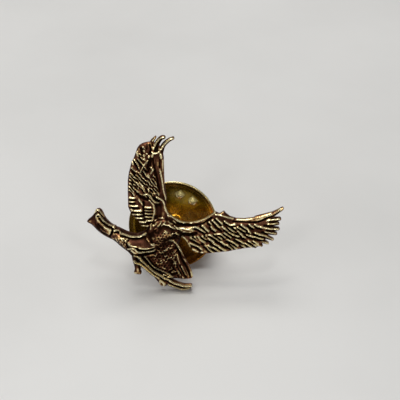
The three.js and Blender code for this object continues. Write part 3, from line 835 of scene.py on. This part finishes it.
def post_solder():
    """The fillet of solder round the pad."""
    rng = np.random.default_rng(5)
    wave = [rng.uniform(0, 2 * math.pi) for _ in range(3)]
    verts, faces = turned([(1.05, 0.06), (1.33, 0.06), (1.28, 0.12), (1.18, 0.22), (1.1, 0.32),
                           (1.05, 0.35)], 72)
    moved = []
    for x, y, z in verts:
        angle = math.atan2(y, x)
        lump = 1 + 0.02 * math.sin(3 * angle + wave[0]) + 0.02 * math.sin(7 * angle + wave[1])
        moved.append((x * lump, y * lump, z * (1 + 0.05 * math.sin(5 * angle + wave[2]))))
    return moved, faces


# ---- Materials ----

def material(name, colour, metallic, roughness):
    made = bpy.data.materials.new(name)
    made.use_nodes = True
    shader = made.node_tree.nodes["Principled BSDF"]
    shader.inputs["Base Color"].default_value = (*colour, 1)
    shader.inputs["Metallic"].default_value = metallic
    shader.inputs["Roughness"].default_value = roughness
    return made, made.node_tree, shader


def ramp(tree, source, stops):
    """A colour ramp fed by a socket; each stop is a place and a colour."""
    node = tree.nodes.new("ShaderNodeValToRGB")
    while len(node.color_ramp.elements) < len(stops):
        node.color_ramp.elements.new(1.0)
    for element, (place, colour) in zip(node.color_ramp.elements, stops):
        element.position = place
        element.color = (*colour, 1)
    tree.links.new(source, node.inputs["Fac"])
    return node.outputs["Color"]


def spread(tree, source, low, high, to_low, to_high):
    node = tree.nodes.new("ShaderNodeMapRange")
    for key, value in {"From Min": low, "From Max": high,
                       "To Min": to_low, "To Max": to_high}.items():
        node.inputs[key].default_value = value
    tree.links.new(source, node.inputs["Value"])
    return node.outputs["Result"]


def noise(tree, scale, detail=4.0):
    """Noise over the object's own metres, scale in bumps per metre."""
    place = tree.nodes.new("ShaderNodeTexCoord").outputs["Object"]
    node = tree.nodes.new("ShaderNodeTexNoise")
    node.inputs["Scale"].default_value = scale
    node.inputs["Detail"].default_value = detail
    tree.links.new(place, node.inputs["Vector"])
    return node.outputs["Fac"]


def bump(tree, shader, height, distance):
    node = tree.nodes.new("ShaderNodeBump")
    node.inputs["Distance"].default_value = distance
    tree.links.new(height, node.inputs["Height"])
    tree.links.new(node.outputs["Normal"], shader.inputs["Normal"])


def mottled(tree, source, scale, detail, swing):
    """A value with noise added to it, of up to a swing either way."""
    node = tree.nodes.new("ShaderNodeMath")
    node.operation = "ADD"
    tree.links.new(source, node.inputs[0])
    tree.links.new(spread(tree, noise(tree, scale, detail), 0.3, 0.7, -swing, swing),
                   node.inputs[1])
    return node.outputs["Value"]


def stored(tree, name):
    """A number that the mesh keeps for each of its points."""
    node = tree.nodes.new("ShaderNodeAttribute")
    node.attribute_name = name
    return node.outputs["Fac"]


def antique_gold():
    """Gold plate with a dark patina left in its hollows and painted highlights along its lines and
    outline, read from each point's crest value.
    """
    made, tree, shader = material("antique_gold", (0.7, 0.5, 0.25), 1.0, 0.3)
    crest = mottled(tree, stored(tree, "crest"), 2600, 4.0, 0.16)
    level = spread(tree, mottled(tree, crest, 8000, 2.0, 0.12), -1, 1, 0, 1)
    tree.links.new(ramp(tree, level, [
        (0.12, (0.018, 0.007, 0.003)), (0.42, (0.095, 0.034, 0.019)), (0.6, (0.21, 0.09, 0.045)),
        (0.71, (0.66, 0.42, 0.16)), (0.83, (1.0, 0.88, 0.52))]), shader.inputs["Base Color"])
    tree.links.new(spread(tree, level, 0.3, 0.8, 0.55, 0.27), shader.inputs["Roughness"])
    tree.links.new(spread(tree, level, 0.6, 0.9, 1.0, 0.78), shader.inputs["Metallic"])
    bump(tree, shader, noise(tree, 9000, 3.0), 0.00002)
    return made


def amber_brass():
    """Bright rolled brass under an amber lacquer."""
    made, tree, shader = material("amber_brass", (0.72, 0.42, 0.08), 0.9, 0.2)
    level = mottled(tree, stored(tree, "lacquer_and_shading"), 420, 3.0, 0.035)
    # pale first stop: painted highlight and reflection on the bosses and the rim's top; dark
    # red-brown last stop: painted shadow
    tree.links.new(ramp(tree, level, [
        (0.0, (1.0, 0.84, 0.32)), (0.15, (0.62, 0.53, 0.32)), (0.38, (0.88, 0.4, 0.016)),
        (0.54, (0.32, 0.19, 0.007)), (0.72, (0.11, 0.068, 0.004)), (1.0, (0.24, 0.09, 0.006))]),
        shader.inputs["Base Color"])
    tree.links.new(spread(tree, noise(tree, 1500), 0.3, 0.7, 0.18, 0.32),
                   shader.inputs["Roughness"])
    # less metallic where pale, so the painted reflection stays bright
    tree.links.new(spread(tree, level, 0.0, 0.1, 0.3, 0.9), shader.inputs["Metallic"])
    shader.inputs["Coat Weight"].default_value = 0.2
    shader.inputs["Coat Roughness"].default_value = 0.08
    bump(tree, shader, noise(tree, 900, 2.0), 0.00003)
    return made


def plain_metal(name, colour, roughness, grain):
    made, tree, shader = material(name, colour, 1.0, roughness)
    tree.links.new(spread(tree, noise(tree, grain), 0.3, 0.7, roughness * 0.75, roughness * 1.3),
                   shader.inputs["Roughness"])
    bump(tree, shader, noise(tree, grain * 2), 0.00001)
    return made


# ---- Pieces ----

def add_piece(name, verts, faces, finish, body, slot, node, smooth_angle):
    """A mesh in the pin's millimetres, placed in the row's metres and riding on a body."""
    mesh = bpy.data.meshes.new(name)
    mesh.from_pydata([tuple(v) for v in verts], [], faces)
    mesh.validate()
    mesh.transform(PIN)
    mesh.materials.append(finish)
    mesh.shade_smooth()
    made = bpy.data.objects.new(name, mesh)
    bpy.context.collection.objects.link(made)
    mesh.set_sharp_from_angle(angle=math.radians(smooth_angle))
    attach(made, body)
    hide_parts(node)
    return made


def store(made, name, values):
    """Keep a number for each point of a mesh, for its material to read."""
    layer = made.data.attributes.new(name, "FLOAT", "POINT")
    layer.data.foreach_set("value", values.astype(np.float32))


def add_eagle(finish):
    verts, faces, tone = relief_mesh(sculpt_eagle())
    made = add_piece("eagle", verts, faces, finish, "badge", "antique_gold", "eagle_casting", 50)
    store(made, "crest", tone)


def lacquer(places, label):
    """How deep the amber lacquer lies at each point, with light and shade painted in: darker
    towards the top and near the rim there, darker left of x = -2.5, a painted shadow of the
    casting over the lower side and the rim's lower half, a painted highlight on the rim's upper
    half, and on the bosses a pale painted reflection that turns to painted shade below their
    middles."""
    x, y, z = places.T
    depth = np.full(len(places), 0.26)
    if label != "dish":
        return depth
    radius = np.hypot(x, y)
    # darker towards the top, and deepest near the rim there
    upper = np.clip((y - 1.5) / 2.2, 0, 1)
    # painted shadow of the casting, deepening down the dish's lower side
    lower = np.clip((0.2 - y) / 1.2, 0, 1)
    depth = 0.36 + 0.3 * upper + 0.62 * lower + 0.1 * np.clip((radius - 4.4) / 0.7, 0, 1) * upper
    # darker left of x = -2.5
    depth = np.where(x < -2.5, 0.6, depth)
    # the rim: painted shadow on its lower half, a painted highlight on its upper half, darker left
    # of x = -2.5
    rim = radius > CLUTCH_RADIUS - 0.28
    depth[rim] = np.where(x[rim] < -2.5, 0.66, np.where(y[rim] < 0, 0.95, 0.1))
    # the bosses: a pale painted reflection at their middles and above, turning to painted shade
    # below
    raised = (-z < FLOOR - 0.02) & (radius < 4.9)
    for angle in BOSS_ANGLES:
        boss_x, boss_y, _ = on_clutch(BOSS_CIRCLE, 0, 0, angle)
        on_boss = raised & (np.hypot(x - boss_x, y - boss_y) < 0.9)
        depth[on_boss] = 0.32 * np.clip((boss_y - y[on_boss]) / 0.5, 0, 1)
    return depth


gold = antique_gold()
amber = amber_brass()
wire_gold = plain_metal("post_gold", (0.78, 0.6, 0.3), 0.25, 3000)
solder_grey = plain_metal("solder", (0.42, 0.39, 0.34), 0.5, 2500)
steel = plain_metal("spring_steel", (0.6, 0.58, 0.54), 0.3, 4000)

add_eagle(gold)
for label, shape, finish, body, slot, node in [
    ("post", pin_post(), wire_gold, "badge", "post_gold", "pin_post"),
    ("solder_fillet", post_solder(), solder_grey, "badge", "solder", "post_solder"),
    ("dish", clutch_disc(), amber, "clutch", "amber_brass", "clutch_disc"),
    ("cover", clutch_cover(), amber, "clutch", "amber_brass", "clutch_cover"),
    ("ear_upper", finger_ear(0), amber, "upper_ear", "amber_brass", "finger_ear_upper"),
    ("ear_lower", finger_ear(1), amber, "lower_ear", "amber_brass", "finger_ear_lower"),
    ("spring_ring", grip_spring(), steel, "spring", "spring_steel", "grip_spring"),
]:
    made = add_piece(label, *shape, finish, body, slot, node, 40)
    if finish is amber:
        store(made, "lacquer_and_shading", lacquer(np.array(shape[0]), label))

# ---- Stage: table, lights, camera ----

CAMERA_RISE = 12  # degrees from the casting's normal up to the line of sight
CAMERA_DISTANCE = 0.150
PICTURE_WIDTH = 0.050  # at the casting
PICTURE_CENTRE = (3.46, 4.02, 0.0)  # in the pin's millimetres


def add_table():
    bpy.ops.mesh.primitive_plane_add(size=1.2)
    table = bpy.context.object
    table.name = "table"
    made, tree, shader = material("table", (0.68, 0.675, 0.66), 0.0, 0.45)
    tree.links.new(ramp(tree, noise(tree, 18, 5.0), [
        (0.35, (0.64, 0.635, 0.62)), (0.6, (0.7, 0.695, 0.68))]), shader.inputs["Base Color"])
    table.data.materials.append(made)


def add_camera():
    data = bpy.data.cameras.new("camera")
    camera = bpy.data.objects.new("camera", data)
    bpy.context.collection.objects.link(camera)
    target = PIN @ Vector(PICTURE_CENTRE)
    rise = math.radians(CAMERA_RISE)
    sight = math.cos(rise) * FACE + math.sin(rise) * UP
    camera.location = target + CAMERA_DISTANCE * sight
    camera.rotation_euler = (-sight).to_track_quat("-Z", "Y").to_euler()
    data.angle = 2 * math.atan(PICTURE_WIDTH / 2 / CAMERA_DISTANCE)
    data.clip_start = 0.005
    bpy.context.scene.camera = camera


def add_area(name, place, aim, size, power, colour=(1, 1, 1)):
    data = bpy.data.lights.new(name, "AREA")
    data.shape = "RECTANGLE"
    data.size, data.size_y = size
    data.energy = power
    data.color = colour
    lamp = bpy.data.objects.new(name, data)
    bpy.context.collection.objects.link(lamp)
    lamp.location = place
    lamp.rotation_euler = (Vector(aim) - Vector(place)).to_track_quat("-Z", "Y").to_euler()


def add_lights():
    add_area("window", (-0.06, 0.17, 0.38), (0, 0, 0), (0.28, 0.28), 1.08, (1.0, 0.99, 0.97))
    add_area("ceiling", (-0.02, 0.0, 0.42), (0, 0, 0), (0.22, 0.22), 0.3)
    for name, place, size, power in [
        ("front_card", (0.05, -0.5, 0.09), (0.5, 0.16), 0.18),
        ("front_lamp_left", (-0.14, -0.28, 0.26), (0.06, 0.06), 0.16),
        ("front_lamp_right", (0.14, -0.26, 0.3), (0.06, 0.06), 0.12),
        ("top_lamp", (0.02, -0.12, 0.4), (0.06, 0.06), 0.14),
        ("left_card", (-0.45, -0.05, 0.1), (0.4, 0.16), 0.15),
        ("right_card", (0.45, 0.0, 0.1), (0.4, 0.16), 0.2),
        ("back_card", (0.0, 0.5, 0.12), (0.5, 0.2), 0.1),
    ]:
        add_area(name, place, (0, 0, 0.01), size, power)
    world = bpy.data.worlds.new("world")
    world.use_nodes = True
    world.node_tree.nodes["Background"].inputs["Color"].default_value = (0.9, 0.92, 0.95, 1)
    world.node_tree.nodes["Background"].inputs["Strength"].default_value = 0.1
    bpy.context.scene.world = world
    bpy.context.scene.view_settings.view_transform = "Standard"


add_camera()
add_table()
add_lights()
